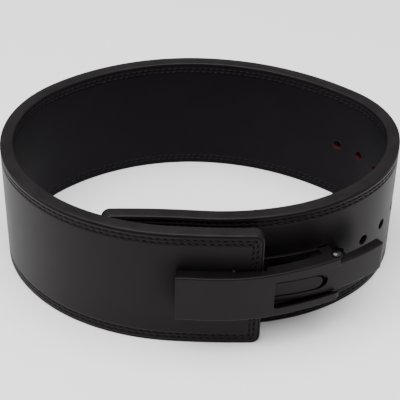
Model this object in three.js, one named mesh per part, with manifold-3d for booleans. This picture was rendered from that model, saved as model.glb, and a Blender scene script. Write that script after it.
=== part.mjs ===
// Lever belt for weightlifting: one thick leather strap standing on its edge in a closed loop,
// its ends lapped at the front and held by a steel lever buckle.
// Units are millimetres, +Z is up, the buckle faces -Y and the widest way of the loop is X.
import * as THREE from 'three';
import { mergeVertices } from 'three/addons/utils/BufferGeometryUtils.js';
import Module from 'manifold-3d';

// Strap: a single layer of leather, measured along its centre line
const strapLength = 937.5;
const strapHeight = 101.6;
const strapThickness = 10;
const strapBevel = 1;
const strapCornerRadius = 7;
const stationSpacing = 7;

// Heading of the centre line at the outer end, in degrees, and its place
const startHeading = -176.64;
const startPoint = new THREE.Vector2(45.99, -114.92);

// One row for each arc of the loop, clockwise seen from above, from the outer end at the front
// to the tongue end under it: share of the strap's length, turn in degrees
const loopArcs = [
  { share: 0.0722, turn: -6.9 },
  { share: 0.07112, turn: -24.2 },
  { share: 0.07112, turn: -29.88 },
  { share: 0.07112, turn: -39.31 },
  { share: 0.07112, turn: -40.25 },
  { share: 0.07112, turn: -22.65 },
  { share: 0.07112, turn: -22.52 },
  { share: 0.07112, turn: -20.29 },
  { share: 0.07112, turn: -18.44 },
  { share: 0.07112, turn: -53.25 },
  { share: 0.07112, turn: -40.31 },
  { share: 0.07112, turn: -27.8 },
  { share: 0.07112, turn: -21.07 },
  { share: 0.07436, turn: 7.15 },
];

// Round holes in one row at mid-height. Places along the strap are counted from the lap line,
// where the outer end lies over the inner run: negative to its right, positive to its left.
const holes = { radius: 4, pitch: 24.17, count: 10, first: -16.4 };

// Base rail: a shallow channel, its face well clear of the strap. The end's face falls back by
// the share endBack of what its round corner takes off the height.
const rail = {
  height: 25,
  rise: 21.6,
  sheet: 2.5,
  flange: 7,
  bend: 1,
  from: -88,
  to: -4,
  endRadius: 4,
  endBack: 0.8,
  endWall: 3,
};
const slot = { height: 13, from: -42.5 };

// Slide block in the rail: its play inside the flanges and in the slot, and how far its two
// upper faces lie under the faces of the rail's sheet
const block = { from: -39.3, to: -6, foot: 12.4, play: 1, tonguePlay: 0.5, sunk: 0.4 };

// Posts in the first and the third hole: play of the shank, and how far the head and the left
// post's collar reach past the hole's rim
const post = { play: 1.2, head: 3.5, headRise: 1.6, collar: 1.2 };

// Lever: a long curved channel whose right half is a fork round the rail and the claw's ears.
// Its arms end just past the rivets.
const lever = {
  sheet: 2.5,
  bend: 1.2,
  rise: 8.6,
  flange: 10.4,
  pastRivet: 0.8,
  to: 57.5,
  endWall: 2.5,
  play: 1.2,
  windowPlay: 0.2,
  windowTo: -6,
  windowRadius: 2.5,
  earRadius: 4.4,
};
// Rise of the lever's face above the face of the outer end: place as a share of the lever's
// length, rise as a share of its full rise
const leverCurve = [
  { place: -0.56, rise: 0.4 },
  { place: -0.36, rise: 0.433 },
  { place: -0.21, rise: 0.573 },
  { place: -0.095, rise: 0.7 },
  { place: 0.01, rise: 0.82 },
  { place: 0.14, rise: 0.925 },
  { place: 0.36, rise: 0.955 },
  { place: 0.56, rise: 1 },
];
const lug = { place: 19, radius: 1.6, rise: 2.4, root: 2, setIn: 1.3 };
const pivot = { place: -25.5, drop: 3.6, radius: 2, socket: 1.5 };

// Claw: a flat fork between the strap's two layers, hung from the lever's ends, with two
// prongs that stand through the outer end
const claw = {
  sheet: 2,
  foot: 2,
  thickness: 2.5,
  pastRivet: 2.1,
  to: 54,
  arm: 5,
  windowTo: 6,
  ear: 5.4,
  earRadius: 2.7,
};
const rivet = { place: -47.9, drop: 5.6, radius: 1.5, headRadius: 3.4, headRise: 2, tailRadius: 2.4, tail: 0.8 };
const prong = { first: 17, pitch: 22, play: 0.8, tip: 1.2, cone: 2 };

// Clearances: between neighbouring pieces, and round a pin or a prong in its hole
const gap = 0.35;
const play = 0.3;
const overCut = 4;

// Fineness: sides of a round body, steps of a round corner and of a dome, and the least height
// of an opening's round end, as a share of its radius
const roundSides = 24;
const cornerSteps = 5;
const domeSteps = 4;
const leastOpening = 0.02;

// The two layers of the lap lie within this share of the strap's length from its ends, and a
// place on one that faces the other is found by so many halvings
const lapShare = 0.2;
const halvings = 40;

// Corner of an octagon's quarter: how far a bend's middle is set in, as a share of its radius
const bendInset = 1 - Math.SQRT1_2;

const middle = strapHeight / 2;
const face = strapThickness / 2;

// Heights that fit over each other: the rail, the claw's ears with the rivets' tails between
// them and the rail, and the lever round both
const clawHeight = rail.height + 2 * (gap + rivet.tail + gap + claw.sheet);
const leverHeight = clawHeight + 2 * (lever.play + lever.sheet);
const windowHeight = rail.height + 2 * lever.windowPlay;

// Undersides, from the strap's centre line, of the slide block and of the rail's face
const blockFoot = face + block.foot;
const railUnder = face + rail.rise - rail.sheet;

// The arms of the lever and of the claw both end at the rivets
const leverFrom = rivet.place - lever.pastRivet;
const clawFrom = rivet.place - claw.pastRivet;

// Point and heading of the strap's centre line at one station. Stations before the start run on
// along the first arc.
function centreAt(station) {
  const at = startPoint.clone();
  let heading = THREE.MathUtils.degToRad(startHeading);
  let left = station;
  for (const [index, arc] of loopArcs.entries()) {
    const length = arc.share * strapLength;
    const turn = THREE.MathUtils.degToRad(arc.turn);
    const last = index === loopArcs.length - 1;
    const run = last ? left : Math.min(left, length);
    const bend = turn / length;
    at.x += (Math.sin(heading + bend * run) - Math.sin(heading)) / bend;
    at.y -= (Math.cos(heading + bend * run) - Math.cos(heading)) / bend;
    heading += bend * run;
    left -= run;
    if (left <= 0) break;
  }
  return { at, heading };
}

// Point at a station, an offset outwards from the centre line and a height
function place(station, offset, height) {
  const { at, heading } = centreAt(station);
  return new THREE.Vector3(at.x - Math.sin(heading) * offset, at.y + Math.cos(heading) * offset, height);
}

// Station on the inner run that faces a station of the outer run, by halving
function facing(outerStation) {
  const target = centreAt(outerStation).at;
  let low = strapLength * (1 - lapShare);
  let high = strapLength;
  for (let step = 0; step < halvings; step += 1) {
    const trial = (low + high) / 2;
    const { at, heading } = centreAt(trial);
    const ahead = (target.x - at.x) * Math.cos(heading) + (target.y - at.y) * Math.sin(heading);
    if (ahead > 0) low = trial;
    else high = trial;
  }
  return (low + high) / 2;
}

// Distance from the inner run to the outer run, centre line to centre line, at an inner station
function layerDistance(innerStation) {
  let low = 0;
  let high = strapLength * lapShare;
  for (let step = 0; step < halvings; step += 1) {
    const trial = (low + high) / 2;
    if (facing(trial) < innerStation) low = trial;
    else high = trial;
  }
  const { at, heading } = centreAt(innerStation);
  const other = centreAt((low + high) / 2).at;
  return (at.x - other.x) * Math.sin(heading) - (at.y - other.y) * Math.cos(heading);
}

const lapLine = facing(0);
const endFace = layerDistance(lapLine);

// Closed body through sections of equal point count. Each section is an array of points in
// space, and the cap outline gives the same points flat, for the two end faces.
function loft(sections, capOutline) {
  const count = capOutline.length;
  const positions = sections.flat().flatMap((point) => point.toArray());
  const index = [];
  for (let row = 0; row < sections.length - 1; row += 1) {
    for (let column = 0; column < count; column += 1) {
      const next = (column + 1) % count;
      const a = row * count + column;
      const b = row * count + next;
      index.push(a, b, a + count, b, b + count, a + count);
    }
  }
  const lastRow = (sections.length - 1) * count;
  for (const [a, b, c] of THREE.ShapeUtils.triangulateShape(capOutline, [])) {
    index.push(a, c, b, lastRow + a, lastRow + b, lastRow + c);
  }
  const geometry = new THREE.BufferGeometry();
  geometry.setAttribute('position', new THREE.Float32BufferAttribute(positions, 3));
  geometry.setIndex(index);
  return geometry;
}

// Stations from one place to another at an even spacing near the wanted one
function stations(from, to, spacing) {
  const count = Math.max(1, Math.ceil(Math.abs(to - from) / spacing));
  return Array.from({ length: count + 1 }, (_, step) => from + ((to - from) * step) / count);
}

// Body swept along the strap through a section that may change with the place. The section
// gives [offset from the centre line, height] pairs, and places count from the lap line.
function sweep(places, section) {
  const rows = places.map((where) => section(where));
  const bodies = rows.map((row, step) => row.map(([offset, height]) => place(lapLine + places[step], offset, height)));
  const cap = rows[0].map(([offset, height]) => new THREE.Vector2(offset, height));
  return loft(bodies, cap);
}

// Rectangle section between two offsets and two heights, with bevelled corners
function bevelledBox(inner, outer, low, high, bevel) {
  return [
    [inner + bevel, low],
    [outer - bevel, low],
    [outer, low + bevel],
    [outer, high - bevel],
    [outer - bevel, high],
    [inner + bevel, high],
    [inner, high - bevel],
    [inner, low + bevel],
  ];
}

// Channel section open towards the strap: a face with two flanges, bent round its long edges
function channel(outer, depth, sheet, height, bend) {
  const low = middle - height / 2;
  const high = middle + height / 2;
  const inner = outer - depth;
  const set = bend * bendInset;
  return [
    [inner, low],
    [outer - bend, low],
    [outer - set, low + set],
    [outer, low + bend],
    [outer, high - bend],
    [outer - set, high - set],
    [outer - bend, high],
    [inner, high],
    [inner, high - sheet],
    [outer - sheet, high - sheet],
    [outer - sheet, low + sheet],
    [inner, low + sheet],
  ];
}

const wasm = await Module();
wasm.setup();

// Solid from a closed geometry, turned right side out where its faces point in
function solid(geometry) {
  const bare = geometry.clone();
  bare.deleteAttribute('normal');
  bare.deleteAttribute('uv');
  const merged = mergeVertices(bare);
  const index = new Uint32Array(merged.index.array);
  const at = (corner) => new THREE.Vector3().fromBufferAttribute(merged.attributes.position, corner);
  let volume = 0;
  for (let corner = 0; corner < index.length; corner += 3) {
    const [a, b, c] = [at(index[corner]), at(index[corner + 1]), at(index[corner + 2])];
    volume += a.dot(b.cross(c));
  }
  if (volume < 0) {
    for (let corner = 0; corner < index.length; corner += 3) {
      [index[corner + 1], index[corner + 2]] = [index[corner + 2], index[corner + 1]];
    }
  }
  const vertProperties = new Float32Array(merged.attributes.position.array);
  return new wasm.Manifold(new wasm.Mesh({ numProp: 3, vertProperties, triVerts: index }));
}

// Round body on a level axis through the strap at one place: a lathe profile of
// [radius, offset from the centre line] pairs, closed on its axis
function turnedThrough(where, profile, sides = roundSides) {
  const points = profile.map(([radius, offset]) => new THREE.Vector2(radius, offset));
  const geometry = new THREE.LatheGeometry(points, sides);
  const { at, heading } = centreAt(lapLine + where);
  const outward = new THREE.Vector3(-Math.sin(heading), Math.cos(heading), 0);
  const along = new THREE.Vector3(Math.cos(heading), Math.sin(heading), 0);
  const up = new THREE.Vector3(0, 0, 1);
  const basis = new THREE.Matrix4().makeBasis(up, outward, along);
  basis.setPosition(at.x, at.y, middle);
  return geometry.applyMatrix4(basis);
}

// Round body on an upright axis at one place and offset: profile of [radius, height] pairs
function turnedUpright(where, offset, profile, sides = roundSides) {
  const points = profile.map(([radius, height]) => new THREE.Vector2(radius, height));
  const geometry = new THREE.LatheGeometry(points, sides);
  const foot = place(lapLine + where, offset, 0);
  const basis = new THREE.Matrix4().makeBasis(
    new THREE.Vector3(1, 0, 0),
    new THREE.Vector3(0, 0, 1),
    new THREE.Vector3(0, -1, 0),
  );
  basis.setPosition(foot);
  return geometry.applyMatrix4(basis);
}

// Plain cylinder profile between two ends
function rod(radius, from, to) {
  return [[0, from], [radius, from], [radius, to], [0, to]];
}

// Profile of a quarter ellipse from its rim, at one height, to its top on the axis
function dome(radius, foot, rise) {
  return stations(0, Math.PI / 2, Math.PI / 2 / domeSteps).map((angle, step) =>
    [step < domeSteps ? radius * Math.cos(angle) : 0, foot + rise * Math.sin(angle)]);
}

// Square-cornered or round-cornered opening through a face, swept along the strap
function faceCutter(from, to, inner, outer, height, radius, roundedStart, roundedEnd) {
  const near = stations(0, radius, radius / cornerSteps);
  const places = [
    ...(roundedStart ? near.map((step) => from + step) : [from]),
    ...stations(from + (roundedStart ? radius : 0), to - (roundedEnd ? radius : 0), stationSpacing).slice(1, -1),
    ...(roundedEnd ? near.map((step) => to - step).reverse() : [to]),
  ];
  const halfAt = (where) => {
    const startDepth = roundedStart ? Math.min(where - from, radius) : radius;
    const endDepth = roundedEnd ? Math.min(to - where, radius) : radius;
    const depth = Math.max(Math.min(startDepth, endDepth), radius * leastOpening);
    const drop = radius - Math.sqrt(Math.max(radius ** 2 - (radius - depth) ** 2, 0));
    return height / 2 - drop;
  };
  return sweep(places, (where) => {
    const half = halfAt(where);
    return [[inner, middle - half], [outer, middle - half], [outer, middle + half], [inner, middle + half]];
  });
}

// Rise of the lever's outer face above the inner run's face, smooth through its table
const leverSpan = lever.to - leverFrom;
const leverRise = new THREE.CubicInterpolant(
  leverCurve.map((row) => row.place * leverSpan),
  leverCurve.map((row) => row.rise * lever.rise),
  1,
  new Float32Array(1),
);
function leverFace(where) {
  return face + endFace + leverRise.evaluate(where)[0];
}

// Inner edge of the lever's flanges: deep beside the rail, just clear of the outer end over it
function leverEdge(where) {
  if (where < -gap * 4) return leverFace(where) - lever.flange;
  return face + layerDistance(lapLine + Math.max(where, 0)) + gap * 2;
}

// The strap: bevelled edges, rounded end corners, the row of holes and the two prong holes
function buildStrap() {
  const ends = [0, ...stations(strapBevel, strapCornerRadius, strapCornerRadius / cornerSteps)];
  const body = stations(strapCornerRadius, strapLength - strapCornerRadius, stationSpacing).slice(1, -1);
  const along = [...ends, ...body, ...ends.map((step) => strapLength - step).reverse()];
  const shell = sweep(along.map((station) => station - lapLine), (where) => {
    const depth = Math.min(where + lapLine, strapLength - where - lapLine);
    const inset = Math.max(strapCornerRadius - depth, 0);
    const drop = strapCornerRadius - Math.sqrt(Math.max(strapCornerRadius ** 2 - inset ** 2, 0));
    const thin = Math.max(strapBevel - depth, 0);
    return bevelledBox(-face + thin, face - thin, drop, strapHeight - drop, strapBevel);
  });
  let strap = solid(shell);
  for (const where of holePlaces) {
    strap = strap.subtract(solid(turnedThrough(where, rod(holes.radius, -face - overCut, face + overCut))));
  }
  for (const where of prongPlaces) {
    const near = endFace - face - overCut;
    strap = strap.subtract(solid(turnedThrough(where, rod(holes.radius, near, near + strapThickness + overCut * 2))));
  }
  return strap;
}

// The base rail: its right end is closed and rounded, its left end butts at the outer end
function buildRail() {
  const outer = face + rail.rise;
  const open = stations(rail.from + rail.endWall, rail.to, stationSpacing);
  const shell = solid(sweep(open, () => channel(outer, rail.flange, rail.sheet, rail.height, rail.bend)));
  const nose = stations(0, rail.endRadius, rail.endRadius / cornerSteps);
  const cap = sweep(nose.map((step) => rail.from + step), (where) => {
    const inset = rail.endRadius - (where - rail.from);
    const drop = rail.endRadius - Math.sqrt(Math.max(rail.endRadius ** 2 - inset ** 2, 0));
    const half = rail.height / 2 - drop;
    return bevelledBox(outer - rail.flange, outer - drop * rail.endBack, middle - half, middle + half, rail.bend);
  });
  const opening = faceCutter(slot.from, rail.to + overCut, outer - rail.flange, outer + overCut, slot.height, slot.height / 2, true);
  const inside = rail.height / 2 - rail.sheet;
  const hollow = sweep([rail.from + rail.endWall, rail.from + rail.endRadius + overCut], () => [
    [outer - rail.flange - overCut, middle - inside],
    [outer - rail.sheet, middle - inside],
    [outer - rail.sheet, middle + inside],
    [outer - rail.flange - overCut, middle + inside],
  ]);
  return shell.add(solid(cap)).subtract(solid(hollow)).subtract(solid(opening)).subtract(pivotHole(play));
}

// Upright pivot pin, or its hole with some play: it ends in a blind socket in each lever flange
function pivotHole(spare) {
  const half = leverHeight / 2 - lever.sheet + pivot.socket + spare - play;
  const profile = rod(pivot.radius + spare, middle - half, middle + half);
  return solid(turnedUpright(pivot.place, face + rail.rise - pivot.drop, profile));
}

// The slide block inside the rail, with a tongue that fills the slot up to its round end
function buildBlock() {
  const half = rail.height / 2 - rail.sheet - block.play;
  const top = railUnder - block.sunk;
  const tongueTop = face + rail.rise - block.sunk;
  const tongueHeight = slot.height - block.tonguePlay * 2;
  const body = sweep(stations(block.from, block.to, stationSpacing), () =>
    bevelledBox(blockFoot, top, middle - half, middle + half, gap));
  const tongue = faceCutter(block.from, block.to, top - gap * 2, tongueTop, tongueHeight, tongueHeight / 2, true);
  return solid(body).add(solid(tongue)).subtract(pivotHole(play));
}

// A post: flat head inside the loop and a shank through a hole, up to what it carries. Outside
// the strap, the shank may be widened to a collar.
function buildPost(where, top, widened) {
  const under = -face - gap;
  const shank = holes.radius - post.play;
  const head = holes.radius + post.head;
  const collar = holes.radius + post.collar;
  return solid(turnedThrough(where, [
    [0, under - post.headRise],
    [head - gap, under - post.headRise],
    [head, under - gap],
    [head, under],
    [shank, under],
    ...(widened ? [[shank, face + gap], [collar, face + gap], [collar, top]] : [[shank, top]]),
    [0, top],
  ]));
}

// The lever: swept channel, end wall, fork opening, round ears and a small lug on its top
function buildLever() {
  const places = [
    ...stations(leverFrom, -gap * 6, stationSpacing),
    ...stations(-gap * 3, lever.to, stationSpacing),
  ];
  const shell = solid(sweep(places, (where) =>
    channel(leverFace(where), leverFace(where) - leverEdge(where), lever.sheet, leverHeight, lever.bend)));
  const half = leverHeight / 2;
  const wall = sweep([lever.to - lever.endWall, lever.to], (where) => [
    [leverEdge(where), middle - half + gap],
    [leverFace(where) - lever.bend, middle - half + gap],
    [leverFace(where) - lever.bend, middle + half - gap],
    [leverEdge(where), middle + half - gap],
  ]);
  const opening = faceCutter(
    leverFrom - overCut * 2,
    lever.windowTo,
    face + rail.rise - rail.flange,
    leverFace(lever.to) + overCut,
    windowHeight,
    lever.windowRadius,
    false,
    true,
  );
  let body = shell.add(solid(wall)).subtract(solid(opening)).subtract(pivotHole(play));
  for (const side of [-1, 1]) {
    const outside = middle + side * half;
    const inside = outside - side * lever.sheet;
    const ear = turnedUpright(rivet.place, rivetOffset, rod(lever.earRadius, ...ordered(inside, outside)));
    body = body.add(solid(ear));
    const hole = rod(rivet.radius + play, ...ordered(inside - side * lever.sheet, outside + side * lever.sheet));
    body = body.subtract(solid(turnedUpright(rivet.place, rivetOffset, hole)));
  }
  const lugFoot = middle + half - lug.root;
  const lugOffset = leverEdge(lug.place) + lug.setIn;
  const knob = turnedUpright(lug.place, lugOffset, rod(lug.radius, lugFoot, middle + half + lug.rise));
  return body.add(solid(knob));
}

// Two numbers with the smaller first
function ordered(one, other) {
  return [Math.min(one, other), Math.max(one, other)];
}

// The claw: a forked plate, a round ear on each arm and two pointed prongs
function buildClaw() {
  const bottom = face + claw.foot;
  const top = bottom + claw.thickness;
  const half = clawHeight / 2;
  const plate = sweep(stations(clawFrom, claw.to, stationSpacing), () =>
    bevelledBox(bottom, top, middle - half, middle + half, gap));
  const opening = faceCutter(
    clawFrom - overCut,
    claw.windowTo,
    bottom - overCut,
    top + overCut,
    clawHeight - claw.arm * 2,
    claw.arm,
    false,
    true,
  );
  let body = solid(plate).subtract(solid(opening));
  for (const side of [-1, 1]) {
    const [low, high] = ordered(middle + side * half, middle + side * (half - claw.sheet));
    const stem = sweep([clawFrom, rivet.place + claw.ear], () => [
      [bottom + gap, low],
      [rivetOffset, low],
      [rivetOffset, high],
      [bottom + gap, high],
    ]);
    const eye = turnedUpright(rivet.place, rivetOffset, rod(claw.earRadius, low, high));
    const hole = turnedUpright(rivet.place, rivetOffset, rod(rivet.radius + play, low - overCut, high + overCut));
    body = body.add(solid(stem)).add(solid(eye)).subtract(solid(hole));
  }
  const tip = leverFace(prong.first) - lever.sheet - prong.tip;
  const thick = holes.radius - prong.play;
  for (const where of prongPlaces) {
    body = body.add(solid(turnedThrough(where, [
      [0, bottom + gap],
      [thick, bottom + gap],
      [thick, tip - prong.cone],
      [thick / 2, tip],
      [0, tip],
    ])));
  }
  return body;
}

// A rivet through a lever's ear and a claw's ear, with a domed head outside
function buildRivet(side) {
  const out = leverHeight / 2 + gap;
  const inner = clawHeight / 2 - claw.sheet - gap;
  const rows = [
    [0, inner - rivet.tail],
    [rivet.tailRadius, inner - rivet.tail],
    [rivet.tailRadius, inner],
    [rivet.radius, inner],
    [rivet.radius, out],
    ...dome(rivet.headRadius, out, rivet.headRise),
  ];
  return solid(turnedUpright(rivet.place, rivetOffset, rows.map(([radius, rise]) => [radius, middle + side * rise])));
}

const holePlaces = Array.from({ length: holes.count }, (_, count) => holes.first - count * holes.pitch);
const prongPlaces = [prong.first, prong.first + prong.pitch];
const rivetOffset = leverFace(rivet.place) - rivet.drop;

const materials = {
  leather: new THREE.MeshStandardMaterial({ color: 0x2b2a2b, roughness: 0.55, metalness: 0 }),
  steel: new THREE.MeshStandardMaterial({ color: 0x2c2b2c, roughness: 0.45, metalness: 0.4 }),
  bright: new THREE.MeshStandardMaterial({ color: 0xc9cacc, roughness: 0.25, metalness: 1 }),
};

// Named mesh from a solid
function named(name, body, material) {
  const { vertProperties, triVerts, numProp } = body.getMesh();
  const geometry = new THREE.BufferGeometry();
  const positions = new Float32Array((vertProperties.length / numProp) * 3);
  for (let corner = 0; corner < positions.length / 3; corner += 1) {
    positions.set(vertProperties.subarray(corner * numProp, corner * numProp + 3), corner * 3);
  }
  geometry.setAttribute('position', new THREE.BufferAttribute(positions, 3));
  geometry.setIndex(new THREE.BufferAttribute(new Uint32Array(triVerts), 1));
  geometry.computeVertexNormals();
  const mesh = new THREE.Mesh(geometry, material.clone());
  mesh.name = name;
  return mesh;
}

const belt = new THREE.Group();
belt.add(
  named('strap', buildStrap(), materials.leather),
  named('base_rail', buildRail(), materials.steel),
  named('slide_block', buildBlock(), materials.steel),
  named('rail_post_left', buildPost(holePlaces[0], blockFoot - gap, true), materials.steel),
  named('rail_post_right', buildPost(holePlaces[2], railUnder - gap, false), materials.steel),
  named('lever', buildLever(), materials.steel),
  named('pivot_pin', pivotHole(0), materials.steel),
  named('claw', buildClaw(), materials.steel),
  named('claw_rivet_top', buildRivet(1), materials.bright),
  named('claw_rivet_bottom', buildRivet(-1), materials.bright),
);

// The origin is the middle of the base of the whole belt
const extent = new THREE.Box3().setFromObject(belt);
const centre = extent.getCenter(new THREE.Vector3());
belt.position.set(-centre.x, -centre.y, -extent.min.z);

export default belt;
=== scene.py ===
# %% [markdown]
# # A lever belt in leather and steel
#
# The belt stands on its edge, closed, with its lever buckle at the front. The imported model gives
# every place and size. This script keeps that frame and makes the pieces look like the real
# ones: a strap of dressed leather with two rows of stitching, and a buckle of black pressed steel.

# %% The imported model
import math

import bpy
import numpy as np
from mathutils import Matrix, Vector


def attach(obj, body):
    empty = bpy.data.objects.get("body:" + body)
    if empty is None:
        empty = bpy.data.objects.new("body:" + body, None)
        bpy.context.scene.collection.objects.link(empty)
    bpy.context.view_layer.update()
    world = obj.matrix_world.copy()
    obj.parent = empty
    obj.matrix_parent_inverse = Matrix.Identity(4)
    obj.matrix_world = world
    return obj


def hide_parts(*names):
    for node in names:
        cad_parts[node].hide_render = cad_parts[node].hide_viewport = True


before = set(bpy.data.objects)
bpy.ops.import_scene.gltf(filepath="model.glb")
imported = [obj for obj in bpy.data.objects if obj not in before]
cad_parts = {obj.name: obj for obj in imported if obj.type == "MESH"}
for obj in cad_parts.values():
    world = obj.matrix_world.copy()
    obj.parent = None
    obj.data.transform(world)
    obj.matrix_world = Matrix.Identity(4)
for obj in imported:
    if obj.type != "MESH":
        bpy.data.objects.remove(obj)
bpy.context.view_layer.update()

print("packed pieces:", sorted(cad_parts))

# %% [markdown]
# ## The camera
#
# A lens of 112 mm on a 36 mm sensor looks down at the belt from about a metre away. The place and
# the slight roll are worked out from the strap's edges. The picture's middle lies above the
# middle of the belt, so the camera is turned up a little instead of being shifted: turning keeps
# the other views centred.

# %% Camera
FOCAL_PIXELS = 1249.0
FRAME_PIXELS = 400
camera_place = np.array([-0.0001, -0.7892, 0.6433])
aim_place = np.array([-0.0001, 0.00575, 0.0])
aim_pixel = np.array([198.9, 240.0])
roll = math.radians(1.14)

ahead = (aim_place - camera_place) / np.linalg.norm(aim_place - camera_place)
level = np.cross(ahead, [0, 0, 1])
level /= np.linalg.norm(level)
upright = np.cross(level, ahead)
right = level * math.cos(roll) + upright * math.sin(roll)
above = upright * math.cos(roll) - level * math.sin(roll)
turn_right, turn_up = (FRAME_PIXELS / 2 - aim_pixel) * [1, -1] / FOCAL_PIXELS
ahead = ahead + right * turn_right + above * turn_up
ahead /= np.linalg.norm(ahead)
right -= ahead * right.dot(ahead)
right /= np.linalg.norm(right)
above = np.cross(right, ahead)

camera_data = bpy.data.cameras.new("view_from_the_front")
camera_data.sensor_width = 36
camera_data.lens = camera_data.sensor_width * FOCAL_PIXELS / FRAME_PIXELS
camera_data.clip_start = 0.05
camera = bpy.data.objects.new("view_from_the_front", camera_data)
rows = [[*axes, place] for axes, place in zip(np.array([right, above, -ahead]).T, camera_place)]
camera.matrix_world = Matrix(rows + [[0, 0, 0, 1]])
bpy.context.scene.collection.objects.link(camera)
bpy.context.scene.camera = camera
print("lens, mm:", round(camera_data.lens, 2))

# %% [markdown]
# ## One class for shader maths
#
# A finish is a field of values over a surface. Wrapping a socket in a class lets a finish be
# written as arithmetic: each operator adds one Math node. Every other node comes from one method
# that sets the node's own settings first and then its sockets.

# %% Shader expressions
class Field:
    """A value that varies over a surface: a socket of a material's node tree."""

    def __init__(self, tree, socket=None):
        self.tree = tree
        self.socket = socket

    def node(self, kind, settings=None, sockets=None, output=0):
        """Adds a node: its settings, then its sockets by name or number, and gives one output."""
        made = self.tree.nodes.new("ShaderNode" + kind)
        for name, value in (settings or {}).items():
            setattr(made, name, value)
        for name, value in (sockets or {}).items():
            if isinstance(value, Field):
                self.tree.links.new(value.socket, made.inputs[name])
            else:
                made.inputs[name].default_value = value
        return Field(self.tree, made.outputs[output])

    def maths(self, operation, *values):
        return self.node("Math", {"operation": operation}, dict(enumerate(values)))

    def __add__(self, other):
        return self.maths("ADD", self, other)

    def __sub__(self, other):
        return self.maths("SUBTRACT", self, other)

    def __rsub__(self, other):
        return self.maths("SUBTRACT", other, self)

    def __mul__(self, other):
        return self.maths("MULTIPLY", self, other)

    def step(self, low, high):
        """0 below low, 1 above high, and a smooth rise between them."""
        return self.node(
            "MapRange",
            {"interpolation_type": "SMOOTHSTEP"},
            {"Value": self, "From Min": low, "From Max": high},
        )

    def band(self, rise, fall):
        """1 between a smooth rise and a smooth fall, each given as its low and high end."""
        return self.step(*rise) * (1.0 - self.step(*fall))

    def mix(self, first, second):
        """The first colour where this field is 0, the second where it is 1."""
        pair = [(*c, 1) if isinstance(c, tuple) else c for c in (first, second)]
        return self.node("Mix", {"data_type": "RGBA"}, {0: self, 6: pair[0], 7: pair[1]}, 2)

    def bump(self, strength, distance):
        """The normal of a surface that rises by this field times the distance, in metres."""
        sockets = {"Strength": strength, "Distance": distance, "Height": self}
        return self.node("Bump", sockets=sockets)


def finish_called(name, **fixed):
    """A new material. Values that are the same all over go straight onto the shader's sockets."""
    made = bpy.data.materials.new(name)
    made.use_nodes = True
    shader = made.node_tree.nodes["Principled BSDF"]
    for socket, value in fixed.items():
        shader.inputs[socket.replace("_", " ")].default_value = value
    return made, Field(made.node_tree), shader


def feed(shader, **fields):
    """Links fields to the shader's sockets by name, with spaces written as underscores."""
    for socket, field in fields.items():
        field.tree.links.new(field.socket, shader.inputs[socket.replace("_", " ")])


def on_mesh(field, name, output=2):
    """A value that the mesh carries: output 2 is a number, output 1 a vector."""
    return field.node("Attribute", {"attribute_name": name}, output=output)


def spot(field, scale, detail=2.0, rough=0.5, where=None):
    """Soft noise with that many patches to a metre, about 0.5 in the middle."""
    where = where or field.node("TexCoord", output=3)
    sockets = {"Vector": where, "Scale": scale, "Detail": detail, "Roughness": rough}
    return field.node("TexNoise", sockets=sockets)


print("shader helpers ready")

# %% [markdown]
# ## Leather finishes
#
# The strap is vegetable-tanned leather, dyed black. Its outside is smooth and waxed, so it has a
# soft sheen and very fine pores, but the furrows stay rough, and their colour is darkened as
# painted shade. A patch of the front above the lever is rougher and painted darker, as the shade
# there. Its inside is the flesh side, duller and slightly mottled. The edges are sanded and
# burnished and show faint layers along the strap. The punched holes show red-brown leather that
# the dye didn't reach. Each finish has the faces where it belongs.

# %% Smooth outside of the leather
# Where the painted shade above the lever lies: along x and up z, in metres, on the front only.
LEVER_SHADE_ALONG, LEVER_SHADE_UP = ((-0.045, 0.0), (0.06, 0.12)), ((0.03, 0.06), (0.07, 0.092))
FRONT_OF_BELT = (-0.1, -0.06)
FURROW_DEPTH = (0.0001, 0.0005)

outside, field, shader = finish_called(
    "leather_outside", Specular_IOR_Level=0.125, Specular_Tint=(1, 0.86, 0.9, 1)
)
place = field.node("TexCoord", output=3)
x, y, z = [field.node("SeparateXYZ", sockets={0: place}, output=axis) for axis in range(3)]
clouds = spot(field, 22.0, 3.0)
grain = spot(field, 900.0, 3.0, 0.6)
pores = field.node("TexVoronoi", {"feature": "SMOOTH_F1"}, {"Vector": place, "Scale": 1400.0})
furrow = on_mesh(field, "depth").step(*FURROW_DEPTH)
# Painted shade above the lever: a soft patch on the front where the colour turns darker and the
# leather rougher.
lever_shade = x.band(*LEVER_SHADE_ALONG) * z.band(*LEVER_SHADE_UP) * (1.0 - y.step(*FRONT_OF_BELT))
lever_shade = lever_shade * (clouds * 0.4 + 0.6)
colour = clouds.step(0.3, 0.7).mix((0.0024, 0.0019, 0.0021), (0.0036, 0.0029, 0.0031))
# Painted shade in the furrows: the stitch channels and the crease are coloured darker.
colour = furrow.mix(colour, (0.0012, 0.0010, 0.0011))
# The painted shade above the lever darkens the colour here.
colour = lever_shade.mix(colour, (0.0010, 0.0008, 0.0009))
roughness = clouds * 0.1 + grain * 0.06 + furrow * 0.4 + lever_shade * 0.45 + 0.36
height = pores * 0.5 + grain * 0.5
feed(shader, Base_Color=colour, Roughness=roughness, Normal=height.bump(0.16, 0.0002))
print(outside.name, "has", len(outside.node_tree.nodes), "nodes")

# %% Flesh side
inside, field, shader = finish_called(
    "leather_inside", Specular_IOR_Level=0.085, Specular_Tint=(1, 0.9, 1, 1)
)
clouds = spot(field, 30.0, 4.0, 0.6)
nap = spot(field, 1500.0, 3.0, 0.7)
colour = clouds.step(0.35, 0.75).mix((0.0016, 0.0011, 0.0017), (0.0036, 0.0026, 0.0038))
height = nap + clouds * 2.0
feed(shader, Base_Color=colour, Roughness=clouds * 0.2 + 0.48, Normal=height.bump(0.3, 0.0003))
print(inside.name, "has", len(inside.node_tree.nodes), "nodes")

# %% Burnished rim, with layers that run along the strap
STREAKS_ALONG, STREAKS_DEEP = 90.0, 1500.0

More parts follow.
